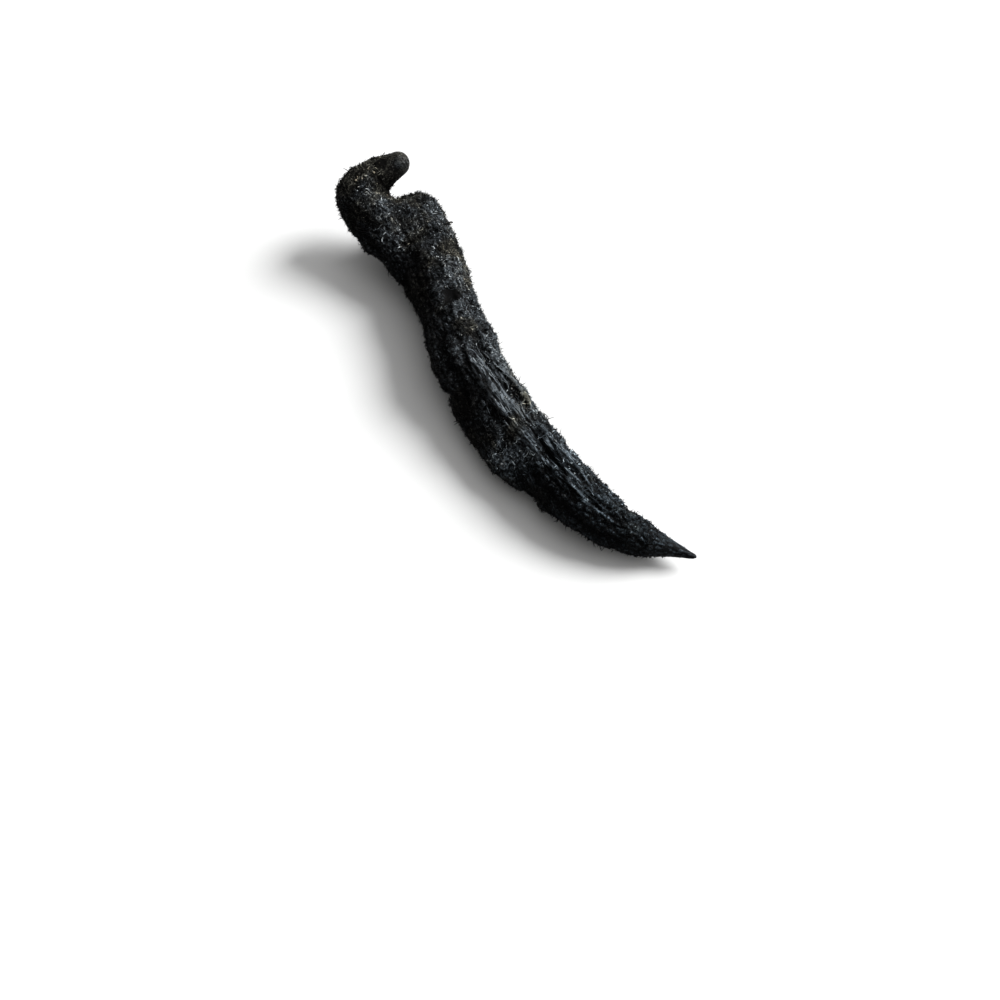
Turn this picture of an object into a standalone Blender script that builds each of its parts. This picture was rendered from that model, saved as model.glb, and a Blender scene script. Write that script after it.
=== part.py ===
"""A dried black turmeric rhizome, lying on its belly.

It grew as one piece: a slender finger of rootstock with a blunt stump where it broke from its
neighbour, a side shoot that lifts off the stump and bends over into a hooked bud, a blunt side
bud along the belly, and a tail that tapers to a point. Its skin has leaf scars in rings, long
furrows from drying, pits where fingers broke off, and short stubs of broken rootlets.

Metres, +Z up. The rhizome lies along X with its tail towards +X, its origin is the middle of its
footprint, and it rests on small flat spots at Z = 0.
"""

import math

import bmesh
import bpy
import numpy as np
from mathutils import Quaternion, Vector, noise
from mathutils.bvhtree import BVHTree

NODE = "rhizome"
MM = 0.001

# Stations of each limb, in millimetres: x, y and z of its middle, then its radius.
# The finger runs from the broken stump, over the belly, to the tail's point.
FINGER = (
    (-44.8, 9.4, 7.7, 4.2),
    (-40.5, 8.0, 7.3, 5.7),
    (-35.0, 6.0, 6.7, 6.5),
    (-29.0, 3.5, 6.4, 6.7),
    (-21.5, 1.0, 6.9, 6.5),
    (-14.0, -1.4, 7.4, 6.6),
    (-6.0, -3.2, 7.0, 6.9),
    (8.0, -4.4, 6.0, 6.3),
    (23.0, -4.3, 5.7, 5.9),
    (31.0, -3.7, 5.5, 5.6),
    (37.5, -2.2, 5.1, 5.1),
    (43.0, 0.4, 4.4, 4.1),
    (47.0, 3.1, 3.7, 2.8),
    (50.0, 5.5, 3.3, 1.7),
    (53.5, 7.8, 3.4, 0.8),
)
# The hooked shoot rises from the side of the stump and bends over at its knuckle.
HOOK = (
    (-31.0, 0.2, 7.2, 4.3),
    (-38.0, -0.4, 8.8, 5.0),
    (-44.5, -1.2, 10.6, 5.6),
    (-48.5, -1.0, 12.4, 5.3),
    (-49.3, 1.3, 14.5, 4.5),
    (-48.7, 4.6, 16.4, 3.7),
    (-47.5, 7.9, 17.9, 2.8),
)
# A web of tissue fills the fork between the stump and the shoot.
WEB = (
    (-27.0, 2.4, 7.0, 5.0),
    (-35.0, 3.4, 8.2, 5.2),
    (-43.3, 5.2, 9.2, 4.2),
)
# The blunt bud lies along the belly's near side and ends in a knob.
SIDE_BUD = (
    (0.5, -7.0, 5.4, 4.4),
    (8.5, -8.2, 4.9, 4.8),
    (15.5, -9.0, 4.5, 4.7),
    (19.5, -9.1, 4.2, 3.8),
    (22.5, -9.2, 3.9, 2.2),
)
# How far each end bulges past its last station, as a share of the radius there.
FINGER_DOMES = (0.35, 1.0)
HOOK_DOMES = (0.3, 0.95)
WEB_DOMES = (0.3, 0.4)
SIDE_BUD_DOMES = (0.3, 0.9)
LIMBS = (
    (FINGER, FINGER_DOMES),
    (HOOK, HOOK_DOMES),
    (SIDE_BUD, SIDE_BUD_DOMES),
    (WEB, WEB_DOMES),
)

# The limbs grow into one another: voxel size and smoothing passes of the join.
STATION_STEP = 1.0 * MM
TUBE_BEVEL = 3
DOME_RINGS = 5
JOIN_VOXEL = 0.55 * MM
JOIN_SMOOTHING = 14
SKIN_TRIANGLES = 9200

# Furrows left by drying, and ridges between them where the depth is negative: limb, angle from
# the top towards -Y, start and end along the limb, depth and half-width. Angles in degrees, the
# rest in millimetres.
FURROWS = (
    (0, 23.0, 31.0, 94.0, -0.75, 1.5),
    (0, 4.0, 33.0, 53.0, 0.75, 0.9),
    (0, -12.0, 38.0, 50.0, 0.45, 0.7),
    (0, 8.0, 51.0, 69.0, 0.85, 0.9),
    (0, 9.0, 66.0, 86.0, 0.80, 0.9),
    (0, 42.0, 60.0, 92.0, 0.90, 1.5),
    (0, 48.0, 10.0, 34.0, 0.60, 1.1),
    (0, -40.0, 52.0, 66.0, 0.50, 0.8),
    (0, -52.0, 36.0, 56.0, 0.60, 0.9),
    (0, -58.0, 68.0, 92.0, 0.60, 0.9),
    (0, -38.0, 8.0, 24.0, 0.50, 1.0),
    (0, 96.0, 50.0, 72.0, 0.60, 1.1),
    (0, 104.0, 74.0, 96.0, 0.50, 0.9),
    (0, -96.0, 10.0, 38.0, 0.65, 1.2),
    (0, -104.0, 44.0, 70.0, 0.60, 1.1),
    (0, -140.0, 26.0, 58.0, 0.50, 1.2),
    (0, -132.0, 66.0, 92.0, 0.50, 1.1),
    (0, 138.0, 8.0, 40.0, 0.55, 1.2),
    (0, 142.0, 56.0, 88.0, 0.50, 1.1),
    (1, -30.0, 5.0, 20.0, 0.50, 1.0),
    (1, 62.0, 3.0, 18.0, 0.50, 1.1),
    (1, 150.0, 6.0, 22.0, 0.45, 1.1),
    (2, 12.0, 4.0, 19.0, 0.45, 0.9),
)
FURROW_FADE = 5.0 * MM
FURROW_WANDER = 0.20
FURROW_LIP = 0.25

# Leaf scars ring each limb: a step in the skin every few millimetres.
RING_PITCH = 6.4 * MM
RING_HALF_WIDTH = 0.75 * MM
RING_DEPTH = 0.22 * MM
RING_TILT = 0.9 * MM

# Below this radius all of the relief is shallower.
THIN_LIMB = 4.5 * MM

# Pits of broken fingers and small raised eyes: limb, place along it, angle, radius, height.
SPOTS = (
    (0, 30.5, 9.0, 2.1, -1.15),
    (0, 24.0, 34.0, 4.2, 0.60),
    (0, 63.0, 74.0, 2.4, 0.80),
    (0, 20.0, -78.0, 2.6, -0.90),
    (0, 47.0, -70.0, 2.4, 0.75),
    (0, 76.0, -112.0, 2.3, 0.70),
    (0, 43.0, -122.0, 2.6, 0.85),
    (0, 12.0, 20.0, 2.4, 0.60),
    (0, 38.0, 92.0, 2.8, 0.80),
    (0, 60.0, -22.0, 1.3, -0.60),
    (0, 73.0, -26.0, 1.2, -0.60),
    (0, 86.0, -20.0, 1.5, 0.45),
    (1, 14.0, 74.0, 2.4, 0.60),
    (1, 26.5, -10.0, 1.6, -0.50),
    (1, 9.0, 120.0, 2.4, 0.60),
    (2, 17.0, 70.0, 1.8, 0.60),
)

# Swellings of the whole skin: wavelength and height of each size.
LUMPS = ((11.0 * MM, 0.95 * MM), (5.2 * MM, 0.48 * MM), (2.9 * MM, 0.22 * MM))

# Stubs of broken rootlets, most of them in loose rings on the flanks.
STUB_COUNT = 56
STUB_SEED = 11
STUB_SIDES = 5
STUB_LENGTH = (0.6 * MM, 1.5 * MM)
STUB_RADIUS = (0.32 * MM, 0.55 * MM)
STUB_ROOT = 0.8 * MM
STUB_CLEARANCE = 0.7 * MM
STUB_LEAN = (15.0, 50.0)

SKIN_COLOUR = (0.018, 0.018, 0.019, 1.0)
SKIN_ROUGHNESS = 0.8
UP = Vector((0.0, 0.0, 1.0))


def clear_scene():
    for obj in list(bpy.data.objects):
        bpy.data.objects.remove(obj, do_unlink=True)


def new_collection(name):
    collection = bpy.data.collections.new(name)
    bpy.context.scene.collection.children.link(collection)
    return collection


def new_object(name, data, collection):
    obj = bpy.data.objects.new(name, data)
    collection.objects.link(obj)
    return obj


def evaluated_mesh(obj):
    """The object's mesh with its modifiers applied, and the object removed."""
    bpy.context.view_layer.update()
    graph = bpy.context.evaluated_depsgraph_get()
    mesh = bpy.data.meshes.new_from_object(obj.evaluated_get(graph))
    mesh.name = obj.name
    bpy.data.objects.remove(obj, do_unlink=True)
    return mesh


def centre_line(stations):
    """Places and radii in metres on a smooth curve through the stations, STATION_STEP apart."""
    knots = np.array(stations) * MM
    padded = np.vstack([2 * knots[0] - knots[1], knots, 2 * knots[-1] - knots[-2]])
    rows = []
    for p0, p1, p2, p3 in zip(padded, padded[1:], padded[2:], padded[3:]):
        count = max(2, round(np.linalg.norm(p2[:3] - p1[:3]) / STATION_STEP))
        for t in np.arange(count) / count:
            rows.append(
                p1
                + 0.5 * t * (p2 - p0)
                + t**2 * (p0 - 2.5 * p1 + 2 * p2 - 0.5 * p3)
                + t**3 * (1.5 * p1 - 0.5 * p0 - 1.5 * p2 + 0.5 * p3)
            )
    rows.append(knots[-1])
    return np.array(rows)


def dome(end, inner, bulge):
    """Rings that round off a limb past its end, from the outermost back to the end."""
    outward = end[:3] - inner[:3]
    outward /= np.linalg.norm(outward)
    rings = []
    for k in range(DOME_RINGS, 0, -1):
        turn = 0.5 * math.pi * k / (DOME_RINGS + 0.4)
        place = end[:3] + outward * end[3] * bulge * math.sin(turn)
        rings.append([*place, end[3] * math.cos(turn)])
    return np.array(rings)


def limb_tube(name, line, domes, collection):
    """A closed tube along the line, as thick as its radii, with rounded ends."""
    start = dome(line[0], line[1], domes[0])
    end = dome(line[-1], line[-2], domes[1])[::-1]
    rows = np.vstack([start, line, end])
    curve = bpy.data.curves.new(name, "CURVE")
    curve.dimensions = "3D"
    curve.bevel_depth = 1.0
    curve.bevel_resolution = TUBE_BEVEL
    curve.use_fill_caps = True
    spline = curve.splines.new("POLY")
    spline.points.add(len(rows) - 1)
    for point, (x, y, z, radius) in zip(spline.points, rows):
        point.co = (x, y, z, 1.0)
        point.radius = radius
    mesh = evaluated_mesh(new_object(name, curve, collection))
    bpy.data.curves.remove(curve)
    return mesh


def joined_limbs(lines, collection):
    """The limbs grown together: one closed, evenly meshed skin with soft joints."""
    shape = bmesh.new()
    for index, (line, (_, domes)) in enumerate(zip(lines, LIMBS)):
        tube = limb_tube(f"limb_{index}", line, domes, collection)
        shape.from_mesh(tube)
        bpy.data.meshes.remove(tube)
    bmesh.ops.remove_doubles(shape, verts=shape.verts, dist=1e-6)
    mesh = bpy.data.meshes.new(NODE)
    shape.to_mesh(mesh)
    shape.free()
    body = new_object(NODE, mesh, collection)
    remesh = body.modifiers.new("grow together", "REMESH")
    remesh.mode = "VOXEL"
    remesh.voxel_size = JOIN_VOXEL
    smooth = body.modifiers.new("soften the joints", "SMOOTH")
    smooth.factor = 0.5
    smooth.iterations = JOIN_SMOOTHING
    return evaluated_mesh(body)


class LimbMap:
    """Where points lie on the limbs: which limb, how far along it, and at which angle."""

    def __init__(self, lines):
        self.lines = lines
        self.lengths = []
        for line in lines:
            steps = np.linalg.norm(np.diff(line[:, :3], axis=0), axis=1)
            self.lengths.append(np.concatenate([[0.0], np.cumsum(steps)]))

    def frame(self, limb, index):
        """The limb's direction at a sample, with its upward and -Y-ward cross directions."""
        line = self.lines[limb]
        before = line[np.maximum(index - 1, 0), :3]
        after = line[np.minimum(index + 1, len(line) - 1), :3]
        along = after - before
        along /= np.linalg.norm(along, axis=-1, keepdims=True)
        top = np.array(UP) - along * along[..., 2:3]
        top /= np.linalg.norm(top, axis=-1, keepdims=True)
        return along, top, np.cross(top, along)

    def locate(self, points):
        """For each point, its limb, its place along it, its angle and the limb's radius there."""
        best = np.full(len(points), np.inf)
        limb = np.zeros(len(points), int)
        along = np.zeros(len(points))
        angle = np.zeros(len(points))
        radius = np.zeros(len(points))
        for number, line in enumerate(self.lines):
            gaps = np.linalg.norm(points[:, None, :] - line[None, :, :3], axis=2)
            nearest = gaps.argmin(axis=1)
            outside = gaps[np.arange(len(points)), nearest] - line[nearest, 3]
            direction, top, side = self.frame(number, nearest)
            offset = points - line[nearest, :3]
            here = outside < best
            best[here] = outside[here]
            limb[here] = number
            place = self.lengths[number][nearest] + (offset * direction).sum(axis=1)
            along[here] = place[here]
            turn = np.arctan2((offset * side).sum(axis=1), (offset * top).sum(axis=1))
            angle[here] = turn[here]
            radius[here] = line[nearest, 3][here]
        return limb, along, angle, radius

    def ray(self, limb, place, angle):
        """The centre point at a place on a limb, its direction, and the way out at an angle."""
        index = int(np.searchsorted(self.lengths[limb], place))
        index = min(index, len(self.lines[limb]) - 1)
        direction, top, side = self.frame(limb, np.array([index]))
        outward = math.cos(angle) * top[0] + math.sin(angle) * side[0]
        return Vector(self.lines[limb][index, :3]), Vector(direction[0]), Vector(outward)


def angle_gap(a, b):
    """The turn from b to a, between -pi and pi."""
    return (a - b + math.pi) % (2 * math.pi) - math.pi


def furrow_relief(limb, along, angle, radius):
    """Lengthwise grooves with a low lip on each side, deepest in the middle of their run."""
    height = np.zeros(len(along))
    for number, (which, degrees, start, end, depth, half_width) in enumerate(FURROWS):
        wander = FURROW_WANDER * np.sin(along / (7 * MM) + 1.9 * number)
        across = angle_gap(angle, math.radians(degrees) + wander) * radius
        across /= half_width * MM
        rise = np.clip((along - start * MM) / FURROW_FADE, 0, 1)
        fall = np.clip((end * MM - along) / FURROW_FADE, 0, 1)
        strength = np.minimum(rise, fall) * (limb == which)
        groove = np.exp(-(across**2)) - FURROW_LIP * np.exp(-((np.abs(across) - 1.9) ** 2))
        height -= depth * MM * strength * groove
    return height


def ring_relief(limb, along, angle):
    """Leaf scars: the skin drops over a short step at each ring."""
    shifted = along + RING_TILT * np.cos(angle + 1.3 * limb) + 0.25 * RING_TILT * np.cos(3 * angle)
    phase = (shifted / RING_PITCH) % 1.0
    distance = np.minimum(phase, 1.0 - phase) * RING_PITCH
    return -RING_DEPTH * np.exp(-((distance / RING_HALF_WIDTH) ** 2))


def spot_relief(limb, along, angle, radius):
    """Pits and eyes, round on the skin."""
    height = np.zeros(len(along))
    for which, place, degrees, size, rise in SPOTS:
        across = angle_gap(angle, math.radians(degrees)) * radius
        distance = np.hypot(across, along - place * MM) / (size * MM)
        height += rise * MM * np.exp(-(distance**3)) * (limb == which)
    return height


def lump_relief(points):
    """Swellings and hollows of several sizes."""
    height = np.zeros(len(points))
    for layer, (wavelength, size) in enumerate(LUMPS):
        shift = Vector((3.7 * layer, 1.3 * layer, 5.1))
        for index, point in enumerate(points):
            height[index] += size * noise.noise(Vector(point) / wavelength + shift)
    return height


def raise_relief(mesh, limbs):
    """Moves the skin along its normals by all of its relief, less where a limb is thin."""
    points = np.empty(len(mesh.vertices) * 3)
    mesh.vertices.foreach_get("co", points)
    points = points.reshape(-1, 3)
    normals = np.empty(len(mesh.vertices) * 3)
    mesh.vertices.foreach_get("normal", normals)
    limb, along, angle, radius = limbs.locate(points)
    height = lump_relief(points) + ring_relief(limb, along, angle)
    height += furrow_relief(limb, along, angle, radius)
    height += spot_relief(limb, along, angle, radius)
    height *= np.clip(radius / THIN_LIMB, 0.1, 1.0)
    moved = points + normals.reshape(-1, 3) * height[:, None]
    mesh.vertices.foreach_set("co", moved.ravel())
    mesh.update()


def reduced(mesh, collection):
    """The skin with fewer faces, most of them where it bends."""
    body = new_object(NODE, mesh, collection)
    body.modifiers.new("triangles", "TRIANGULATE")
    decimate = body.modifiers.new("fewer faces", "DECIMATE")
    decimate.ratio = SKIN_TRIANGLES / (2 * len(mesh.polygons))
    return evaluated_mesh(body)


def cut_flat(mesh):
    """Cuts the underside off at Z = 0, so that the rhizome stands on flat spots."""
    shape = bmesh.new()
    shape.from_mesh(mesh)
    whole = [*shape.verts, *shape.edges, *shape.faces]
    cut = bmesh.ops.bisect_plane(
        shape, geom=whole, dist=1e-6, plane_co=(0, 0, 0), plane_no=UP, clear_inner=True
    )
    rim = [item for item in cut["geom_cut"] if isinstance(item, bmesh.types.BMEdge)]
    bmesh.ops.holes_fill(shape, edges=rim, sides=0)
    bmesh.ops.triangulate(shape, faces=shape.faces)
    bmesh.ops.recalc_face_normals(shape, faces=shape.faces)
    shape.to_mesh(mesh)
    shape.free()


def stub_mesh(length, radius):
    """A short tapered stub along +Z, with its root below Z = 0."""
    shape = bmesh.new()
    bmesh.ops.create_cone(
        shape,
        segments=STUB_SIDES,
        radius1=radius,
        radius2=0.4 * radius,
        depth=length + STUB_ROOT,
        cap_ends=True,
    )
    bmesh.ops.translate(shape, verts=shape.verts, vec=UP * (0.5 * (length - STUB_ROOT)))
    mesh = bpy.data.meshes.new("stub")
    shape.to_mesh(mesh)
    shape.free()
    return mesh


def add_stubs(skin, limbs, collection):
    """Places the rootlet stubs on the skin, in loose rings, leaning towards each limb's end."""
    draw = np.random.default_rng(STUB_SEED)
    tree = BVHTree.FromPolygons(
        [v.co.copy() for v in skin.vertices], [tuple(p.vertices) for p in skin.polygons]
    )
    shares = np.array([line[-1] for line in limbs.lengths])
    made = 0
    while made < STUB_COUNT:
        limb = int(draw.choice(len(shares), p=shares / shares.sum()))
        ring = draw.integers(1, max(2, int(shares[limb] / RING_PITCH)))
        place = ring * RING_PITCH + draw.normal(0, 0.12) * RING_PITCH
        angle = draw.uniform(-math.pi, math.pi)
        centre, along, outward = limbs.ray(limb, place, angle)
        hit, normal, _, _ = tree.ray_cast(centre, outward)
        length = draw.uniform(*STUB_LENGTH)
        radius = draw.uniform(*STUB_RADIUS)
        lean = math.radians(draw.uniform(*STUB_LEAN))
        twist = draw.uniform(-0.6, 0.6)
        if hit is None:
            continue
        heading = normal.lerp(along, math.sin(lean)).normalized()
        heading.rotate(Quaternion(normal, twist))
        if min(hit.z, (hit + heading * length).z) < STUB_CLEARANCE:
            continue
        stub = new_object(f"stub_{made}", stub_mesh(length, radius), collection)
        stub.rotation_mode = "QUATERNION"
        stub.rotation_quaternion = UP.rotation_difference(heading)
        stub.location = hit
        made += 1


def fuse_stubs(skin, parts, stubs):
    """One solid of the skin and its stubs."""
    body = new_object(NODE, skin, parts)
    union = body.modifiers.new("rootlet stubs", "BOOLEAN")
    union.operation = "UNION"
    union.operand_type = "COLLECTION"
    union.collection = stubs
    mesh = evaluated_mesh(body)
    for stub in list(stubs.objects):
        bpy.data.objects.remove(stub, do_unlink=True)
    bpy.data.collections.remove(stubs)
    return mesh


def centre_footprint(mesh):
    """Puts the origin in the middle of the footprint."""
    corners = np.array([v.co for v in mesh.vertices])
    middle = (corners.min(axis=0) + corners.max(axis=0)) / 2
    for vertex in mesh.vertices:
        vertex.co.x -= middle[0]
        vertex.co.y -= middle[1]


def skin_material():
    material = bpy.data.materials.new("black_bark")
    material.use_nodes = True
    shader = material.node_tree.nodes["Principled BSDF"]
    shader.inputs["Base Color"].default_value = SKIN_COLOUR
    shader.inputs["Roughness"].default_value = SKIN_ROUGHNESS
    shader.inputs["Metallic"].default_value = 0.0
    return material


def main():
    clear_scene()
    parts = new_collection("black_turmeric")
    stubs = new_collection("rootlet_stubs")
    lines = [centre_line(stations) for stations, _ in LIMBS]
    limbs = LimbMap(lines)
    skin = joined_limbs(lines, parts)
    raise_relief(skin, limbs)
    skin = reduced(skin, parts)
    cut_flat(skin)
    add_stubs(skin, limbs, stubs)
    whole = fuse_stubs(skin, parts, stubs)
    centre_footprint(whole)
    whole.materials.clear()
    whole.materials.append(skin_material())
    rhizome = new_object(NODE, whole, parts)
    rhizome.data.shade_smooth()


main()
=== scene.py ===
"""A dried black turmeric rhizome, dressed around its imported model.

The solid gives the form. This script replaces it with a finer skin of the same form, wrinkled,
scaly and pitted, and covers that with what the real one has: a felt of short bristles, loose
flakes of leaf scale, curly rootlets and grains of dry soil. All are real meshes.
"""

import math
from types import SimpleNamespace

import bmesh
import bpy
import numpy as np
from bpy.props import (
    FloatProperty,
    FloatVectorProperty,
    IntProperty,
    PointerProperty,
)
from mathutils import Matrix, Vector, noise
from mathutils.bvhtree import BVHTree


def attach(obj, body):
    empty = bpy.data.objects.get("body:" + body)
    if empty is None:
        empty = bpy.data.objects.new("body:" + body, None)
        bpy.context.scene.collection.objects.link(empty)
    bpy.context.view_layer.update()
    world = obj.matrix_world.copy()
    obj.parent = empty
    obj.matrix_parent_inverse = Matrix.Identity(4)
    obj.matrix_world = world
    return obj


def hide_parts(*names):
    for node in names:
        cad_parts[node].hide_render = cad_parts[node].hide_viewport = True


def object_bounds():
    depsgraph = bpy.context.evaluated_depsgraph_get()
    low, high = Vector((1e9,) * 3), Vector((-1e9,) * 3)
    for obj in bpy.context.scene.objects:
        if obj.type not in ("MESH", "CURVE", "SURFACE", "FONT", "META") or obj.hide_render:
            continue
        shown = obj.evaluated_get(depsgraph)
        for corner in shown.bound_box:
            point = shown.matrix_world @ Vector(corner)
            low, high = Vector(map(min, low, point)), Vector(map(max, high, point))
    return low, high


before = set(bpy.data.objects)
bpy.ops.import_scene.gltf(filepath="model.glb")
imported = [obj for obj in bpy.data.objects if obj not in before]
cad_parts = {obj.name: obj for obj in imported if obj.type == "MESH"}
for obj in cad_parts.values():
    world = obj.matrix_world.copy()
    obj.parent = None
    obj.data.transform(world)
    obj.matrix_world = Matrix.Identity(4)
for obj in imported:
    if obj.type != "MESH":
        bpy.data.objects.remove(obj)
CAD_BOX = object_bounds()

bl_info = {
    "name": "Black Turmeric Rhizome",
    "version": (1, 0, 0),
    "blender": (4, 5, 0),
    "location": "3D View > Sidebar > Rhizome",
    "description": "Dresses a dried rhizome with skin, bristles, rootlets and soil",
    "category": "Add Mesh",
}

MM = 0.001
BODY = "root"
NODE = "rhizome"
BAKE_MAP = "OFBake"

# The limbs' centre lines as the solid has them, in millimetres: x, y and z, then the radius.
FINGER = (
    (-44.8, 9.4, 7.7, 4.2),
    (-40.5, 8.0, 7.3, 5.7),
    (-35.0, 6.0, 6.7, 6.5),
    (-29.0, 3.5, 6.4, 6.7),
    (-21.5, 1.0, 6.9, 6.5),
    (-14.0, -1.4, 7.4, 6.6),
    (-6.0, -3.2, 7.0, 6.9),
    (8.0, -4.4, 6.0, 6.3),
    (23.0, -4.3, 5.7, 5.9),
    (31.0, -3.7, 5.5, 5.6),
    (37.5, -2.2, 5.1, 5.1),
    (43.0, 0.4, 4.4, 4.1),
    (47.0, 3.1, 3.7, 2.8),
    (50.0, 5.5, 3.3, 1.7),
    (53.5, 7.8, 3.4, 0.8),
)
HOOK = (
    (-31.0, 0.2, 7.2, 4.3),
    (-38.0, -0.4, 8.8, 5.0),
    (-44.5, -1.2, 10.6, 5.6),
    (-48.5, -1.0, 12.4, 5.3),
    (-49.3, 1.3, 14.5, 4.5),
    (-48.7, 4.6, 16.4, 3.7),
    (-47.5, 7.9, 17.9, 2.8),
)
SIDE_BUD = (
    (0.5, -7.0, 5.4, 4.4),
    (8.5, -8.2, 4.9, 4.8),
    (15.5, -9.0, 4.5, 4.7),
    (19.5, -9.1, 4.2, 3.8),
    (22.5, -9.2, 3.9, 2.2),
)
LIMBS = (FINGER, HOOK, SIDE_BUD)
FINGER_LIMB, HOOK_LIMB, SIDE_BUD_LIMB = range(3)
LINE_STEP = 0.8 * MM

# Points that are located in one go, to bound the memory that it takes.
BATCH = 8192

# How far bristles, rootlets and grains stay above the floor, and half the floor's side.
FLOOR_GAP = 0.02 * MM
FLOOR_HALF = 3.0

# How far bristles and rootlets may pass the solid's box, as a share of its size.
BOX_MARGIN = 0.022

# The skin is sunk by this much under its relief, and its pits are drawn from their own seed.
RELIEF_SINK = 0.10 * MM
PIT_SEED = 5

# Where the key light comes from: to the picture's right, away from the camera, and up. On the side
# that faces away from it, the surroundings have this share of their brightness.
KEY_FROM = (0.37, 0.15, 0.32)
DIM_SIDE = 0.16

# Where the skin turns bare and smooth, in millimetres along the limb: from the first place, and
# fully from the second. One is the hook's tip, the other the tail's spike.
HOOK_BARE = (25.0, 29.5)
TAIL_BARE = (93.0, 103.0)

# Brown earth clings most to the hooked end: up to this X, fading in over this length.
HEAD_END = -14.0
HEAD_FADE = 12.0

# What the earthy patches multiply the colours by.
EARTH = (1.0, 0.85, 0.64)

# The dust turns cooler towards the tail: from this X, fully after this length, and what it
# multiplies the colours by.
COOL_START = 6.0
COOL_FADE = 34.0
COOL = (0.89, 1.0, 1.07)

# The side painted lighter, as painted light from the key light's side and as dusty skin, as a
# direction: up, and away from the side bud.
DUST_AND_LIGHT_SIDE = (0.337, 0.497, 0.800)

# Spots painted lighter or darker than the skin around them, partly as dustier and cleaner skin and
# partly as painted light and painted shade: x, y, z and radius in millimetres, and by how much.
# They are the side bud's end, the finger's middle, the hook's inner corner, its ridge and its tip,
# the spike's point, the shoulder, the back, the spike's start, the tail, the waist's dark side and
# the knuckle.
DUST_AND_LIGHT_SPOTS = (
    (18.5, -10.5, 8.0, 5.5, 1.35),
    (1.5, -2.5, 13.0, 8.0, 0.45),
    (-44.5, 2.5, 15.8, 2.6, 0.6),
    (-49.0, -1.0, 17.0, 4.0, 0.25),
    (-46.5, 7.5, 19.0, 4.0, -0.45),
    (53.0, 7.5, 3.5, 4.0, -0.70),
    (-26.6, 7.2, 12.0, 3.5, 0.45),
    (13.0, -2.6, 11.0, 4.0, 0.35),
    (48.3, 3.6, 6.0, 5.0, -0.38),
    (41.5, -0.4, 8.7, 5.5, -0.26),
    (-2.8, -10.1, 10.2, 5.0, 0.22),
    (-42.6, -4.0, 14.5, 4.5, -0.16),
)

# Where earth clings besides the hook, on the shoulder and on the back: x, y, z and radius in mm.
EARTHY_SPOTS = ((-26.6, 7.2, 12.0, 5.0), (13.0, -2.6, 11.0, 6.0))

# Bald scars where a finger or bud broke off, painted near black as bare skin and as painted shade:
# limb, place in millimetres along it, angle in degrees round it, and radius in millimetres.
SCARS = (
    (FINGER_LIMB, 30.5, 9.0, 2.1),
    (FINGER_LIMB, 20.0, -78.0, 2.2),
    (HOOK_LIMB, 26.5, -10.0, 1.2),
)

# The streaked band: where long streaks replace the matted bristles, along the finger in
# millimetres and around it in degrees, 0 on top and more towards +Y.
STREAKS = (38.0, 88.0)
STREAKS_MIDDLE = -4.0
STREAKS_HALF_WIDTH = 24.0

# Single lines that stand out on the finger: from and to in millimetres along it, the angles in
# degrees there, and the half width in millimetres. Ridges are painted light, as rubbed skin and as
# a painted highlight along the lit rim; grooves are cracks, painted dark as painted shade.
RIDGES = (
    (63.0, 77.0, -1.0, -15.0, 0.28),
    (66.0, 79.0, 7.0, -3.0, 0.24),
    (76.0, 88.0, -13.0, -24.0, 0.28),
    (49.0, 62.0, 23.0, 33.0, 0.26),
)
GROOVES = (
    (42.5, 53.0, -7.0, -1.0, 0.22),
    (43.5, 50.0, 6.0, 8.0, 0.20),
    (46.0, 53.5, -16.0, -11.0, 0.20),
    (64.0, 77.0, 3.0, -9.0, 0.20),
    (49.0, 63.0, 18.0, 27.0, 0.21),
    (79.0, 89.0, 2.0, -6.0, 0.20),
)


# Property groups


class SkinSettings(bpy.types.PropertyGroup):
    """The replaced skin: its mesh and its relief."""

    voxel: FloatProperty(
        name="Mesh size",
        description="Edge length of the fine skin mesh",
        default=0.262 * MM,
        min=0.15 * MM,
        unit="LENGTH",
    )
    wrinkle: FloatProperty(
        name="Wrinkle depth",
        description="Height of the lengthwise wrinkles of drying",
        default=0.36 * MM,
        unit="LENGTH",
    )
    clods: FloatProperty(
        name="Clods",
        description="Height of the crumbly lumps of matted skin",
        default=0.34 * MM,
        unit="LENGTH",
    )
    scale_rim: FloatProperty(
        name="Scale rims",
        description="Depth of the cracks between the skin's small scales",
        default=0.30 * MM,
        unit="LENGTH",
    )
    grain: FloatProperty(
        name="Grain",
        description="Height of the finest roughness that the mesh carries",
        default=0.10 * MM,
        unit="LENGTH",
    )
    line: FloatProperty(
        name="Line depth",
        description="Height of the single ridges and depth of the single grooves",
        default=0.22 * MM,
        unit="LENGTH",
    )
    pits: IntProperty(
        name="Pits",
        description="Number of small holes where rootlets broke off",
        default=190,
        min=0,
    )
    # Painted shade: the skin takes this colour in its hollows, its grooves and its scars.
    dark: FloatVectorProperty(
        name="Hollows",
        description="Colour of the skin in its hollows",
        default=(0.0007, 0.0007, 0.0008),
        subtype="COLOR",
        size=3,
    )
    mid: FloatVectorProperty(
        name="Skin",
        description="Colour of most of the skin",
        default=(0.0150, 0.0172, 0.0190),
        subtype="COLOR",
        size=3,
    )
    # Partly painted light: the skin takes this colour on its crests and ridges as rubbed skin, and
    # on the side that faces the key light.
    crest: FloatVectorProperty(
        name="Crests",
        description="Colour of the skin on its crests, where it is rubbed and dusty",
        default=(0.072, 0.082, 0.090),
        subtype="COLOR",
        size=3,
    )


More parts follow.
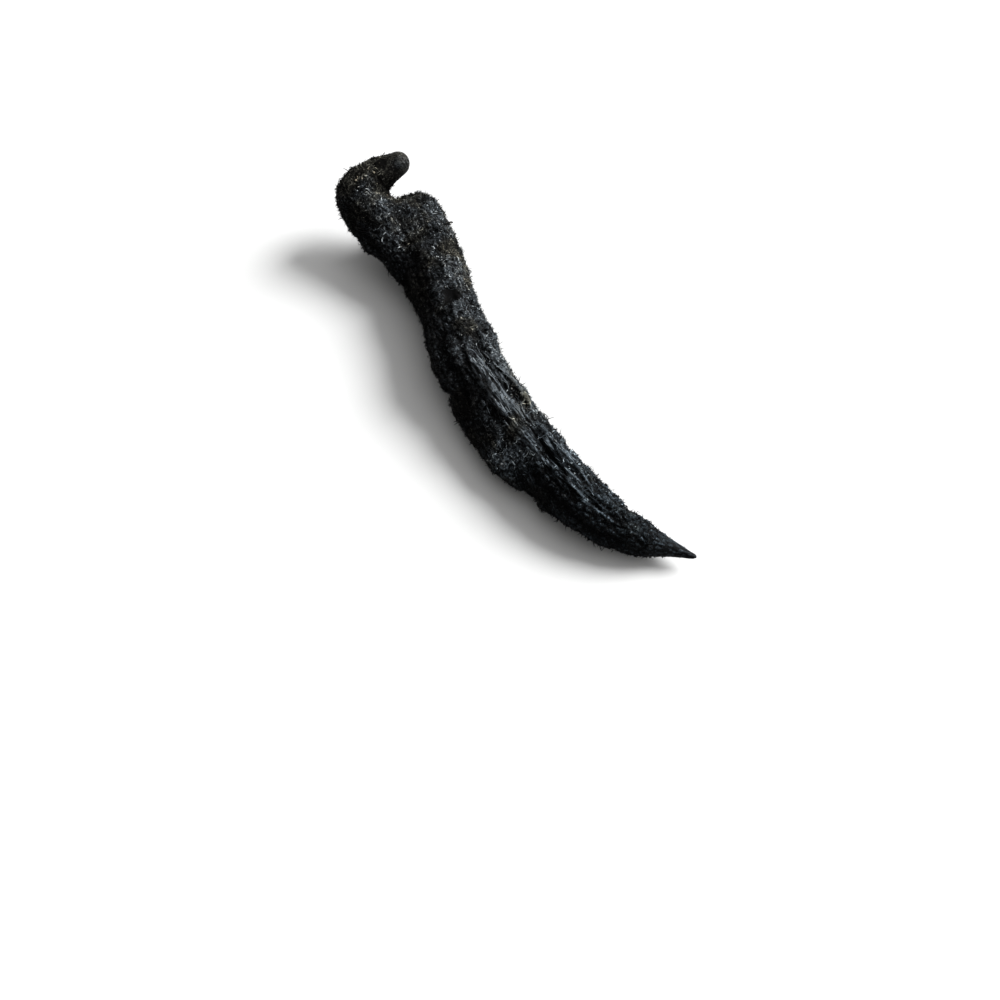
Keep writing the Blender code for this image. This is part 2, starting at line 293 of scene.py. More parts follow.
class BristleSettings(bpy.types.PropertyGroup):
    """The felt of short bristles and loose flakes."""

    mats: IntProperty(
        name="Mats",
        description="Number of meshes that the lying bristles are shared between",
        default=2,
        min=1,
    )
    mat_count: IntProperty(
        name="Bristles in a mat",
        description="Lying bristles in each mesh",
        default=17000,
        min=0,
    )
    flake_count: IntProperty(
        name="Flakes",
        description="Broader curled shreds of leaf scale",
        default=26000,
        min=0,
    )
    stray_count: IntProperty(
        name="Stray bristles",
        description="Bristles that stand off the skin and show at its outline",
        default=6800,
        min=0,
    )
    strand_count: IntProperty(
        name="Strands",
        description="Long straight strands that lie along the streaked band",
        default=750,
        min=0,
    )
    length: FloatProperty(
        name="Bristle length",
        description="Usual length of a lying bristle",
        default=0.75 * MM,
        unit="LENGTH",
    )
    width: FloatProperty(
        name="Bristle width",
        description="Width of a lying bristle at its root",
        default=0.13 * MM,
        unit="LENGTH",
    )
    seed: IntProperty(
        name="Seed",
        description="Start of the random draws",
        default=3,
    )


class RootletSettings(bpy.types.PropertyGroup):
    """Long curly rootlets that creep over the skin."""

    count: IntProperty(
        name="Rootlets",
        description="Number of long rootlets",
        default=120,
        min=0,
    )
    thickness: FloatProperty(
        name="Thickness",
        description="Diameter of a rootlet at its root",
        default=0.14 * MM,
        unit="LENGTH",
    )
    stubs: IntProperty(
        name="Stubs",
        description="Number of short stiff stubs, set most often at the two ends",
        default=260,
        min=0,
    )
    veins: IntProperty(
        name="Veins",
        description="Number of long straight fibres along the streaked band",
        default=60,
        min=0,
    )
    seed: IntProperty(
        name="Seed",
        description="Start of the random draws",
        default=21,
    )


class SoilSettings(bpy.types.PropertyGroup):
    """Grains of dry soil and dusty earth caught in the bristles, painted lighter on the key light's
    side.
    """

    count: IntProperty(
        name="Grains",
        description="Number of grains",
        default=3200,
        min=0,
    )
    size: FloatProperty(
        name="Grain size",
        description="Usual diameter of a grain",
        default=0.22 * MM,
        unit="LENGTH",
    )
    seed: IntProperty(
        name="Seed",
        description="Start of the random draws",
        default=34,
    )


class StageSettings(bpy.types.PropertyGroup):
    """The floor, the lights and the camera."""

    camera_target: FloatVectorProperty(
        name="Camera target",
        description="Point of the floor at the middle of the picture",
        default=(0.0216, -0.0141, 0.0),
        unit="LENGTH",
        size=3,
    )
    camera_azimuth: FloatProperty(
        name="Camera azimuth",
        description="Turn of the camera round the rhizome, 0 looking along +Y",
        default=math.radians(55.9),
        subtype="ANGLE",
    )
    camera_elevation: FloatProperty(
        name="Camera elevation",
        description="Angle of the camera above the floor",
        default=math.radians(59.0),
        subtype="ANGLE",
    )
    camera_distance: FloatProperty(
        name="Camera distance",
        description="Distance from the camera to its target",
        default=0.2639,
        unit="LENGTH",
    )
    key_strength: FloatProperty(
        name="Key light",
        description="Strength of the broad light from the right and above",
        default=8.6,
    )
    key_spread: FloatProperty(
        name="Key spread",
        description="How broad the key light looks from the rhizome",
        default=math.radians(32),
        subtype="ANGLE",
    )
    sky: FloatProperty(
        name="Surrounding light",
        description="Brightness of the surroundings on the key light's side",
        default=1.6,
    )
    floor: FloatVectorProperty(
        name="Floor",
        description="Colour of the pale floor",
        default=(0.46, 0.46, 0.457),
        subtype="COLOR",
        size=3,
    )


# Growth: where a point lies on the limbs


def centre_line(stations):
    """Places and radii on a smooth curve through a limb's stations, in metres."""
    knots = np.array(stations) * MM
    padded = np.vstack([2 * knots[0] - knots[1], knots, 2 * knots[-1] - knots[-2]])
    rows = []
    for p0, p1, p2, p3 in zip(padded, padded[1:], padded[2:], padded[3:]):
        count = max(2, round(np.linalg.norm(p2[:3] - p1[:3]) / LINE_STEP))
        for t in np.arange(count) / count:
            rows.append(
                p1
                + 0.5 * t * (p2 - p0)
                + t**2 * (p0 - 2.5 * p1 + 2 * p2 - 0.5 * p3)
                + t**3 * (1.5 * p1 - 0.5 * p0 - 1.5 * p2 + 0.5 * p3)
            )
    rows.append(knots[-1])
    return np.array(rows)


class Growth:
    """The limbs' centre lines, and where any point lies on them."""

    def __init__(self):
        parts = []
        for limb, stations in enumerate(LIMBS):
            line = centre_line(stations)
            direction = np.gradient(line[:, :3], axis=0)
            direction /= np.linalg.norm(direction, axis=1, keepdims=True)
            steps = np.linalg.norm(np.diff(line[:, :3], axis=0), axis=1)
            place = np.concatenate([[0.0], np.cumsum(steps)])
            parts.append((line, direction, place, np.full(len(line), limb)))
        self.middle = np.vstack([part[0][:, :3] for part in parts])
        self.radius = np.concatenate([part[0][:, 3] for part in parts])
        self.direction = np.vstack([part[1] for part in parts])
        self.place = np.concatenate([part[2] for part in parts])
        self.limb = np.concatenate([part[3] for part in parts])

    def locate(self, points):
        """Where each point lies: limb, place, angle, radius there, way along and way out."""
        nearest = np.empty(len(points), int)
        for start in range(0, len(points), BATCH):
            some = points[start : start + BATCH]
            gap = np.linalg.norm(some[:, None] - self.middle[None], axis=2) - self.radius
            nearest[start : start + BATCH] = gap.argmin(axis=1)
        along = self.direction[nearest]
        offset = points - self.middle[nearest]
        top = np.array([0.0, 0.0, 1.0]) - along * along[:, 2:]
        top /= np.linalg.norm(top, axis=1, keepdims=True)
        side = np.cross(top, along)
        inline = (offset * along).sum(axis=1)
        return SimpleNamespace(
            limb=self.limb[nearest],
            place=self.place[nearest] + inline,
            angle=np.arctan2((offset * side).sum(axis=1), (offset * top).sum(axis=1)),
            radius=self.radius[nearest],
            along=along,
            out=unit(offset - along * inline[:, None]),
        )


def rise(values, start, end):
    """0 before start, 1 after end, smooth between."""
    t = np.clip((values - start) / (end - start), 0.0, 1.0)
    return t * t * (3 - 2 * t)


def within(values, start, end, fade):
    """1 between start and end, 0 outside them, with a soft change of the given length inside."""
    return rise(values, start, start + fade) * (1 - rise(values, end - fade, end))


def bare_share(spot):
    """1 where the skin is smooth and bare, 0 where it is bristly."""
    hook = rise(spot.place, HOOK_BARE[0] * MM, HOOK_BARE[1] * MM)
    tail = rise(spot.place, TAIL_BARE[0] * MM, TAIL_BARE[1] * MM)
    return hook * (spot.limb == HOOK_LIMB) + tail * (spot.limb == FINGER_LIMB)


def scar_and_shade_share(spot):
    """1 inside the bald scars, 0 outside them."""
    share = np.zeros(len(spot.limb))
    for limb, middle, degrees, size in SCARS:
        turn = (spot.angle - math.radians(degrees) + math.pi) % (2 * math.pi) - math.pi
        distance = np.hypot(turn * spot.radius, spot.place - middle * MM) / (size * MM)
        share = np.maximum(share, (spot.limb == limb) * (1 - rise(distance, 0.6, 1.15)))
    return share


def streak_share(spot):
    """1 in the streaked band of the finger, 0 away from it."""
    turn = np.degrees(spot.angle) - STREAKS_MIDDLE
    across = 1 - rise(np.abs(turn), STREAKS_HALF_WIDTH - 10, STREAKS_HALF_WIDTH + 10)
    lengthwise = within(spot.place, STREAKS[0] * MM, STREAKS[1] * MM, 10 * MM)
    return across * lengthwise * (spot.limb == FINGER_LIMB)


def line_share(spot, lines):
    """1 on the middle of the given lines, 0 away from them."""
    share = np.zeros(len(spot.limb))
    for start, end, turn, last_turn, half_width in lines:
        t = np.clip((spot.place - start * MM) / ((end - start) * MM), 0.0, 1.0)
        away = (spot.angle - np.radians(turn + t * (last_turn - turn))) * spot.radius
        line = within(spot.place, start * MM, end * MM, 1.5 * MM)
        share = np.maximum(share, line * np.exp(-((away / (half_width * MM)) ** 2)))
    return share * (spot.limb == FINGER_LIMB)


def dust_and_light_share(limb, out, points, normals):
    """How light the skin is painted: painted light on what faces the key light's side and on the
    hook's upper side, dustier in patches, lighter or darker at the spots.
    """
    patches = noise_at(points, 6.5 * MM, 4.0) + 0.6 * noise_at(points, 2.3 * MM, 6.0)
    # Painted light: lighter on what faces the key light, and on the hook's upper side.
    facing = rise(unit(normals + out) @ np.array(DUST_AND_LIGHT_SIDE), 0.3, 0.9)
    hook = (limb == HOOK_LIMB) * rise(normals[:, 2], 0.5, 0.95)
    dust_and_light = np.clip(np.maximum(facing, hook) * (0.85 + 0.5 * patches), 0, 1)
    for x, y, z, radius, amount in DUST_AND_LIGHT_SPOTS:
        distance = np.linalg.norm(points - np.array([x, y, z]) * MM, axis=1) / (radius * MM)
        spot = np.exp(-(distance**2)) * rise(normals[:, 2], -0.2, 0.5)
        dust_and_light += amount * spot * np.clip(0.9 + 0.9 * patches, 0, 1.6)
    return np.maximum(dust_and_light, 0)


def noise_at(points, wavelength, shift=0.0):
    """Smooth noise between -1 and 1 at each point."""
    scaled = points / wavelength + np.array([shift, 0.37 * shift, 1.9 * shift])
    return np.array([noise.noise(Vector(p)) for p in scaled])


def cracks_at(points, wavelength):
    """0 on the borders of random cells, rising to 1 inside them."""
    out = np.empty(len(points))
    for index, p in enumerate(points / wavelength):
        near, _ = noise.voronoi(Vector(p))
        out[index] = near[1] - near[0]
    return np.clip(out / 0.32, 0.0, 1.0)


# Meshes from arrays


def unit(vectors):
    return vectors / np.maximum(np.linalg.norm(vectors, axis=-1, keepdims=True), 1e-12)


def turned(vectors, axes, angles):
    """The vectors turned round their own unit axes."""
    cos = np.cos(angles)[:, None]
    sin = np.sin(angles)[:, None]
    across = np.cross(axes, vectors)
    inline = (axes * vectors).sum(axis=1, keepdims=True)
    return vectors * cos + across * sin + axes * inline * (1 - cos)


def triangle_mesh(name, points, triangles, corners=None):
    """A mesh of triangles, with the corners' places on the bake map if they are given."""
    mesh = bpy.data.meshes.new(name)
    mesh.vertices.add(len(points))
    mesh.vertices.foreach_set("co", points.astype(np.float32).ravel())
    mesh.loops.add(3 * len(triangles))
    mesh.loops.foreach_set("vertex_index", triangles.astype(np.int32).ravel())
    mesh.polygons.add(len(triangles))
    mesh.polygons.foreach_set("loop_start", np.arange(0, 3 * len(triangles), 3, dtype=np.int32))
    mesh.update(calc_edges=True)
    if corners is not None:
        layer = mesh.uv_layers.new(name=BAKE_MAP)
        layer.data.foreach_set("uv", corners.astype(np.float32).ravel())
    mesh.validate()
    return mesh


def add_values(mesh, name, values):
    """Stores one number, or one vector, for each point of the mesh."""
    kind, key = ("FLOAT", "value") if values.ndim == 1 else ("FLOAT_VECTOR", "vector")
    layer = mesh.attributes.new(name, kind, "POINT")
    layer.data.foreach_set(key, values.astype(np.float32).ravel())


def add_piece(name, mesh, material, smooth=True):
    """A piece of the rhizome: linked, given its material and riding on its body."""
    piece = bpy.data.objects.new(name, mesh)
    bpy.context.scene.collection.objects.link(piece)
    mesh.materials.clear()
    mesh.materials.append(material)
    if smooth:
        mesh.shade_smooth()
    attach(piece, BODY)
    return piece


def ribbon_mesh(name, spines, sides, widths):
    """Flat tapering strips. Spines are (strips, rows, 3), sides the way across, widths full."""
    strips, rows, _ = spines.shape
    half = 0.5 * widths[..., None] * sides
    left = spines - half
    right = spines + half
    body = np.stack([left[:, :-1], right[:, :-1]], axis=2).reshape(strips, -1, 3)
    points = np.concatenate([body, spines[:, -1:]], axis=1)
    each = 2 * (rows - 1) + 1
    pattern = []
    for row in range(rows - 2):
        a = 2 * row
        pattern += [(a, a + 1, a + 3), (a, a + 3, a + 2)]
    last = 2 * (rows - 2)
    pattern.append((last, last + 1, last + 2))
    pattern = np.array(pattern)
    triangles = (pattern[None] + each * np.arange(strips)[:, None, None]).reshape(-1, 3)
    # Each strip's corners lie inside its own cell of the bake map, clear of the next strip's.
    spots = np.array(
        [(0.2 + 0.6 * (i % 2), 0.12 + 0.76 * (i // 2) / (rows - 1)) for i in range(each)]
    )
    spots[-1] = (0.5, 0.88)
    grid = math.ceil(math.sqrt(strips))
    cell = np.stack([np.arange(strips) % grid, np.arange(strips) // grid], axis=1)
    corners = (cell[:, None, None] + spots[pattern][None]) / grid
    points = points.reshape(-1, 3)
    points[:, 2] = np.maximum(points[:, 2], FLOOR_GAP)
    mesh = triangle_mesh(name, points, triangles, corners.reshape(-1, 2))
    tip = np.append(np.repeat(np.arange(rows - 1), 2), rows - 1) / (rows - 1)
    add_values(mesh, "tip", np.tile(tip, strips))
    return mesh, each


# The skin


def fine_copy(voxel):
    """The solid's form as one evenly fine mesh, softened so that no facet is left."""
    shape = bmesh.new()
    shape.from_mesh(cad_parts[NODE].data)
    bmesh.ops.remove_doubles(shape, verts=shape.verts, dist=1e-6)
    mesh = bpy.data.meshes.new("skin_form")
    shape.to_mesh(mesh)
    shape.free()
    form = bpy.data.objects.new("skin_form", mesh)
    bpy.context.scene.collection.objects.link(form)
    remesh = form.modifiers.new("fine mesh", "REMESH")
    remesh.mode = "VOXEL"
    remesh.voxel_size = voxel
    smooth = form.modifiers.new("soften facets", "SMOOTH")
    smooth.factor = 0.5
    smooth.iterations = 5
    bpy.context.view_layer.update()
    graph = bpy.context.evaluated_depsgraph_get()
    fine = bpy.data.meshes.new_from_object(form.evaluated_get(graph))
    bpy.data.objects.remove(form, do_unlink=True)
    bpy.data.meshes.remove(mesh)
    fine.name = "rhizome_skin"
    return fine


def arrays_of(mesh):
    """The mesh's points and its normals there."""
    points = np.empty(3 * len(mesh.vertices))
    mesh.vertices.foreach_get("co", points)
    normals = np.empty(3 * len(mesh.vertices))
    mesh.vertices.foreach_get("normal", normals)
    return points.reshape(-1, 3), normals.reshape(-1, 3)


def pit_relief(points, count, draw):
    """Small round holes with a low rim, scattered over the skin."""
    depth = np.zeros(len(points))
    for centre in draw.choice(len(points), count, replace=False):
        radius = draw.uniform(0.22, 0.62) * MM
        distance = np.linalg.norm(points - points[centre], axis=1) / radius
        depth += draw.uniform(0.3, 0.6) * radius * (
            0.35 * np.exp(-(((distance - 1.35) / 0.35) ** 2)) - np.exp(-(distance**2))
        )
    return depth


def skin_traits(spot):
    """What the skin is like at each point, by name, for its relief, colour and bristles.

    rolled holds points of the skin laid out along the limb, drawn close lengthwise.
    """
    sideways = [spot.radius * np.cos(spot.angle), spot.radius * np.sin(spot.angle)]
    bare = bare_share(spot)
    streaks = streak_share(spot)
    return {
        "rolled": np.stack([0.14 * spot.place + 0.09 * spot.limb] + sideways, axis=1),
        "line": line_share(spot, RIDGES) - line_share(spot, GROOVES),
        "scar_and_shade": scar_and_shade_share(spot),
        "bare": bare,
        "streaks": streaks,
        "drawn": np.maximum(streaks, bare * (spot.limb == FINGER_LIMB)),
    }


def relief(points, spot, traits, settings):
    """The fine relief's height at each point."""
    rolled, streaks, bare = traits["rolled"], traits["streaks"], traits["bare"]
    hook = spot.limb == HOOK_LIMB
    flank = (spot.limb == FINGER_LIMB) * rise(-np.degrees(spot.angle), 40, 75)
    flank *= rise(spot.place, 72 * MM, 76 * MM)
    calm = 0.6 * hook * rise(spot.place, 10 * MM, 24 * MM) + 0.6 * flank
    wrinkles = noise_at(rolled, 1.35 * MM) + 0.5 * noise_at(rolled, 0.6 * MM, 3.1)
    wrinkles = 0.7 - 2 * np.abs(wrinkles)
    clods = noise_at(points, 2.6 * MM, 5.0) + 0.45 * noise_at(points, 0.9 * MM, 8.0)
    scaly = cracks_at(rolled * np.array([4.5, 1, 1]), 1.15 * MM)
    grain = noise_at(points, 0.5 * MM, 11.0)
    height = settings.clods * clods * (1 - 0.6 * streaks) * (1 - calm)
    height += settings.scale_rim * (scaly - 0.85) * (1 - 0.4 * streaks) * (1 - calm)
    height += pit_relief(points, settings.pits, np.random.default_rng(PIT_SEED))
    height *= 1 - 0.8 * bare
    smooth = bare * np.where(hook, 0.9, 0.5)
    height += settings.wrinkle * wrinkles * (0.4 + 0.5 * streaks) * (1 - smooth)
    height *= 1 - 0.85 * traits["scar_and_shade"]
    height += settings.grain * grain * (1 - 0.6 * bare)
    height += settings.line * traits["line"]
    height *= np.clip(spot.radius / (3.5 * MM), 0.12, 1.0)
    return height - RELIEF_SINK


def hollows(mesh, points, normals, radius, rounds):
    """How far each point lies below the skin around it, in metres, bends left out."""
    edges = np.empty(2 * len(mesh.edges), np.int32)
    mesh.edges.foreach_get("vertices", edges)
    a, b = edges.reshape(-1, 2).T
    many = len(points)
    degree = np.bincount(a, minlength=many) + np.bincount(b, minlength=many)
    soft = points.copy()
    for _ in range(rounds):
        for axis in range(3):
            line = soft[:, axis]
            near = np.bincount(a, line[b], many) + np.bincount(b, line[a], many)
            soft[:, axis] = 0.5 * line + 0.5 * near / degree
    below = ((soft - points) * normals).sum(axis=1)
    return below - (below * radius).mean() / radius


def crest_share(mesh, points, normals, radius):
    """1 on crests, 0 in hollows, from the broad furrows and from the fine relief."""
    broad = hollows(mesh, points, normals, radius, 90)
    fine = hollows(mesh, points, normals, radius, 8)
    return np.clip(0.5 - broad / (0.75 * MM) - fine / (0.30 * MM), 0, 1)


def make_skin(settings):
    mesh = fine_copy(settings.voxel)
    points, normals = arrays_of(mesh)
    spot = Growth().locate(points)
    traits = skin_traits(spot)
    height = relief(points, spot, traits, settings)
    resting = 1 - rise(points[:, 2], 0.1 * MM, 0.9 * MM)
    moved = points + normals * (height * (1 - resting))[:, None]
    moved[:, 2] = np.maximum(moved[:, 2], 0.0)
    mesh.vertices.foreach_set("co", moved.ravel())
    mesh.update()
    moved, normals = arrays_of(mesh)
    # Painted shade and painted light for the colours: the crest share darkens the hollows, the next
    # share lightens the side that faces the key light, besides dusty patches.
    traits["crest"] = crest_share(mesh, moved, normals, spot.radius)
    traits["dust_and_light"] = dust_and_light_share(spot.limb, spot.out, moved, normals)
    for name, values in traits.items():
        add_values(mesh, name, values)
    skin = add_piece("rhizome_skin", mesh, skin_material(settings))
    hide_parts(NODE)
    return skin


# The bristles


class Ground:
    """The finished skin as arrays, to root bristles on."""

    def __init__(self, mesh):
        self.points, self.normals = arrays_of(mesh)
        mesh.calc_loop_triangles()
        corners = np.empty(3 * len(mesh.loop_triangles), np.int32)
        mesh.loop_triangles.foreach_get("vertices", corners)
        self.triangles = corners.reshape(-1, 3)
        a, b, c = (self.points[self.triangles[:, k]] for k in range(3))
        self.areas = 0.5 * np.linalg.norm(np.cross(b - a, c - a), axis=1)
        self.spot = Growth().locate(self.points)
        self.bare = np.maximum(self.values(mesh, "bare"), self.values(mesh, "scar_and_shade"))
        self.crest = self.values(mesh, "crest")
        self.streaks = self.values(mesh, "streaks")
        self.line = self.values(mesh, "line")
        self.straight = np.maximum(self.streaks, np.abs(self.line))
        self.dust_and_light = self.values(mesh, "dust_and_light")

    def values(self, mesh, name):
        """One of the numbers that the skin keeps for each of its points."""
        values = np.empty(len(self.points), np.float32)
        mesh.attributes[name].data.foreach_get("value", values)
        return values.astype(float)

    def scatter(self, count, weight, draw):
        """Random roots, as many as asked: nearest points, places and normals."""
        share = self.areas * weight[self.triangles].mean(axis=1)
        chosen = draw.choice(len(share), count, p=share / share.sum())
        u, v = draw.random(count), draw.random(count)
        over = u + v > 1
        u[over], v[over] = 1 - u[over], 1 - v[over]
        mix = np.stack([1 - u - v, u, v], axis=1)[..., None]
        corners = self.triangles[chosen]
        places = (self.points[corners] * mix).sum(axis=1)
        normals = unit((self.normals[corners] * mix).sum(axis=1))
        return corners[:, 0], places, normals


def bristle_headings(ground, at, places, normals, spread, straighten, draw):
    """The way each bristle lies: along the limb, swirling in tufts, straighter in streaks."""
    along = ground.spot.along[at]
    flat = unit(along - normals * (along * normals).sum(axis=1, keepdims=True))
    calm = 1 - straighten * ground.straight[at]
    swirl = 2.4 * noise_at(places, 5.0 * MM, 1.0) + 1.7 * noise_at(places, 1.3 * MM, 2.0)
    turn = calm * swirl * 1.6 + spread * (0.25 + 0.75 * calm) * draw.normal(0, 1, len(at))
    turn += math.pi * (draw.random(len(at)) < 0.5)
    return turned(flat, normals, turn)


def bristle_spines(places, normals, headings, lengths, lifts, curls, hug, rows):
    """Bent centre lines, which start just under the skin, rise, and come down again."""
    spine = [places - 0.06 * MM * normals]
    step = lengths / (rows - 1)
    heading = headings
    sides = []
    for row in range(rows - 1):
        share = row / (rows - 1)
        lift = lifts * (1 - hug * share)
        way = heading * np.cos(lift)[:, None] + normals * np.sin(lift)[:, None]
        sides.append(np.cross(normals, heading))
        spine.append(spine[-1] + way * step[:, None])
        heading = turned(heading, normals, curls / (rows - 1))
    sides.append(sides[-1])
    return np.stack(spine, axis=1), np.stack(sides, axis=1)


def in_bounds(spines):
    """True for each spine that stays close enough to the solid's box."""
    low, high = (np.array(corner) for corner in CAD_BOX)
    margin = BOX_MARGIN * (high - low)
    return ((spines > low - margin) & (spines < high + margin)).all(axis=(1, 2))


def add_bristles(name, ground, count, material, look, draw):
    """One mesh of bristles or flakes. look holds their sizes and how they lie."""
    at, places, normals = ground.scatter(count, look["weight"], draw)
    headings = bristle_headings(
        ground, at, places, normals, look["spread"], look["straighten"], draw
    )
    lengths = look["length"] * draw.lognormal(0, look["vary"], count)
    lengths = np.clip(lengths, 0.3 * look["length"], 2.2 * look["length"])
    lengths *= np.clip(ground.spot.radius[at] / (4.5 * MM), 0.4, 1.0)
    lifts = np.abs(draw.normal(look["lift"], 0.6 * look["lift"], count))
    curls = draw.normal(0, look["curl"], count)
    rows = look["rows"]
    spines, sides = bristle_spines(
        places, normals, headings, lengths, lifts, curls, look["hug"], rows
    )
    roll = draw.normal(0, look["roll"], count)
    for row in range(rows):
        sides[:, row] = turned(sides[:, row], unit(spines[:, -1] - spines[:, 0]), roll)
    taper = 1 - 0.45 * np.arange(rows) / (rows - 1)
    widths = look["width"] * draw.uniform(0.6, 1.4, count)[:, None] * taper[None]
    widths *= np.clip(ground.spot.radius[at] / (3.5 * MM), 0.45, 1.0)[:, None]
    # Painted light and painted shade: bristles are lighter on the side that faces the key light, as
    # the skin is, with dustier patches, and darker in the skin's hollows.
    dust_and_light = dust_and_light_share(ground.spot.limb[at], ground.spot.out[at], places, normals)
    tones = draw.random(count) ** look["contrast"] * (0.40 + 0.60 * dust_and_light)
    tones += 0.15 * (ground.crest[at] - 0.5)
    kept = in_bounds(spines)
    mesh, each = ribbon_mesh(name, spines[kept], sides[kept], widths[kept])
    add_values(mesh, "tone", np.repeat(tones[kept], each))
    add_values(mesh, "dust_and_light", np.repeat(dust_and_light[kept], each))
    return add_piece(name, mesh, material, smooth=False)


def make_bristles(settings, skin):
    ground = Ground(skin.data)
    draw = np.random.default_rng(settings.seed)
    clear = rise(ground.points[:, 2], 0.15 * MM, 0.6 * MM)
    tufts = 0.65 + 0.35 * np.clip(1.8 * noise_at(ground.points, 2.2 * MM, 9.0), -1, 1)
    felt = clear * (1 - 0.97 * ground.bare) * (1 - 0.55 * ground.streaks)
    felt *= (1 - 0.35 * ground.dust_and_light) * (1 - 0.9 * np.abs(ground.line))
    mat = dict(
        weight=felt * (0.6 + 0.4 * tufts),
        length=settings.length,
        width=settings.width,
        vary=0.35,
        lift=0.28,
        curl=1.8,
        hug=1.5,
        roll=0.5,
        spread=0.9,
        rows=4,
        contrast=2.2,
        straighten=0.45,
    )
    dark = bristle_material("dark_bristle", (0.0006, 0.0006, 0.0007), (0.0110, 0.0132, 0.0152),
                            (0.085, 0.098, 0.108), 0.6, 0.03)
    for number in range(settings.mats):
        add_bristles(f"bristle_mat_{number + 1}", ground, settings.mat_count, dark, mat, draw)
    flakes = dict(mat, weight=felt * tufts, length=0.55 * MM, width=0.17 * MM, lift=0.36,
                  vary=0.45, curl=2.2, roll=0.6, spread=1.6, hug=1.6, rows=3, contrast=2.5)
    scale = bristle_material("leaf_scale", (0.0007, 0.0007, 0.0008), (0.0200, 0.0236, 0.0262),
                             (0.340, 0.372, 0.385), 0.5, 0.08)
    add_bristles("leaf_scale_flakes", ground, settings.flake_count, scale, flakes, draw)
    stray = dict(mat, weight=felt * (0.2 + 0.8 * tufts), length=0.80 * MM, width=0.15 * MM,
                 lift=0.85, curl=0.8, roll=0.9, spread=1.4, hug=0.5)
    add_bristles("stray_bristles", ground, settings.stray_count, dark, stray, draw)
    lined = ground.streaks * (0.15 + ground.crest) + 0.8 * np.maximum(ground.line, 0)
    strands = dict(mat, weight=clear * lined, vary=0.4,
                   length=1.2 * MM, width=0.11 * MM, lift=0.05, curl=0.25, hug=1.6, roll=0.35,
                   spread=0.14, rows=5, contrast=1.6, straighten=0.97)
    grey = bristle_material("grey_strand", (0.0008, 0.0009, 0.0010), (0.018, 0.021, 0.024),
                            (0.170, 0.190, 0.202), 0.5)
    add_bristles("streak_strands", ground, settings.strand_count, grey, strands, draw)


# The rootlets


def creeping_path(tree, start, normal, heading, shape, draw):
    """A path that follows the skin from start, lifting off it a little and coming back.

    shape holds its length, curl, wobble, clearance and number of steps.
    """
    length, curl, wobble, clearance, rows = shape
    start, normal, heading = Vector(start), Vector(normal), Vector(heading)
    step = length / rows
    path = [start - 0.1 * MM * normal]
    place = start
    wave = draw.uniform(0, 2 * math.pi)
    for row in range(rows):
        heading = (heading - normal * heading.dot(normal)).normalized()
        bend = curl / rows + wobble * math.sin(wave + 0.9 * row)
        heading = Vector(turned(np.array([heading]), np.array([normal]), np.array([bend]))[0])
        place = place + heading * step
        near, towards, _, _ = tree.find_nearest(place)
        normal = towards
        off = clearance * (0.25 + abs(math.sin(0.35 * row + wave)))
        path.append(near + normal * off)
        place = near
    return np.array([list(p) for p in path])


def stiff_path(start, normal, heading, length, draw):
    """A short path that stands off the skin and bends a little."""
    lift = draw.uniform(0.35, 1.1)
    way = heading * math.cos(lift) + normal * math.sin(lift)
    bend = heading * draw.uniform(-0.5, 0.5)
    steps = np.arange(4)[:, None] / 3
    return start - 0.2 * MM * normal + length * steps * (way + bend * steps)


def tube_arrays(spine, radius, narrowing):
    """A three-sided tube along the spine, thinner towards its tip: points and triangles."""
    rows = len(spine)
    along = unit(np.gradient(spine, axis=0))
    across = unit(np.cross(along, np.array([0.31, 0.22, 0.93])))
    up = np.cross(across, along)
    taper = radius * (1 - narrowing * np.arange(rows) / (rows - 1))
    corners = []
    for k in range(3):
        turn = 2 * math.pi * k / 3
        corners.append(spine + taper[:, None] * (math.cos(turn) * across + math.sin(turn) * up))
    points = np.stack(corners, axis=1).reshape(-1, 3)
    triangles = []
    for row in range(rows - 1):
        for k in range(3):
            a, b = 3 * row + k, 3 * row + (k + 1) % 3
            triangles += [(a, b, b + 3), (a, b + 3, a + 3)]
    triangles += [(0, 2, 1), (3 * rows - 3, 3 * rows - 2, 3 * rows - 1)]
    return points, np.array(triangles)


def add_tubes(name, spines, radii, tones, material, narrowing=0.65):
    """One mesh of three-sided tubes, those that leave the solid's box left out."""
    points, triangles, shades, tips, total = [], [], [], [], 0
    for spine, radius, tone in zip(spines, radii, tones):
        if not in_bounds(spine[None])[0]:
            continue
        some, faces = tube_arrays(spine, radius, narrowing)
        points.append(some)
        triangles.append(faces + total)
        shades.append(np.full(len(some), tone))
        tips.append(np.repeat(np.arange(len(spine)) / (len(spine) - 1), 3))
        total += len(some)
    points = np.vstack(points)
    points[:, 2] = np.maximum(points[:, 2], FLOOR_GAP)
    mesh = triangle_mesh(name, points, np.vstack(triangles))
    add_values(mesh, "tone", np.concatenate(shades))
    add_values(mesh, "tip", np.concatenate(tips))
    add_values(mesh, "dust_and_light", np.full(total, 0.3))
    return add_piece(name, mesh, material)


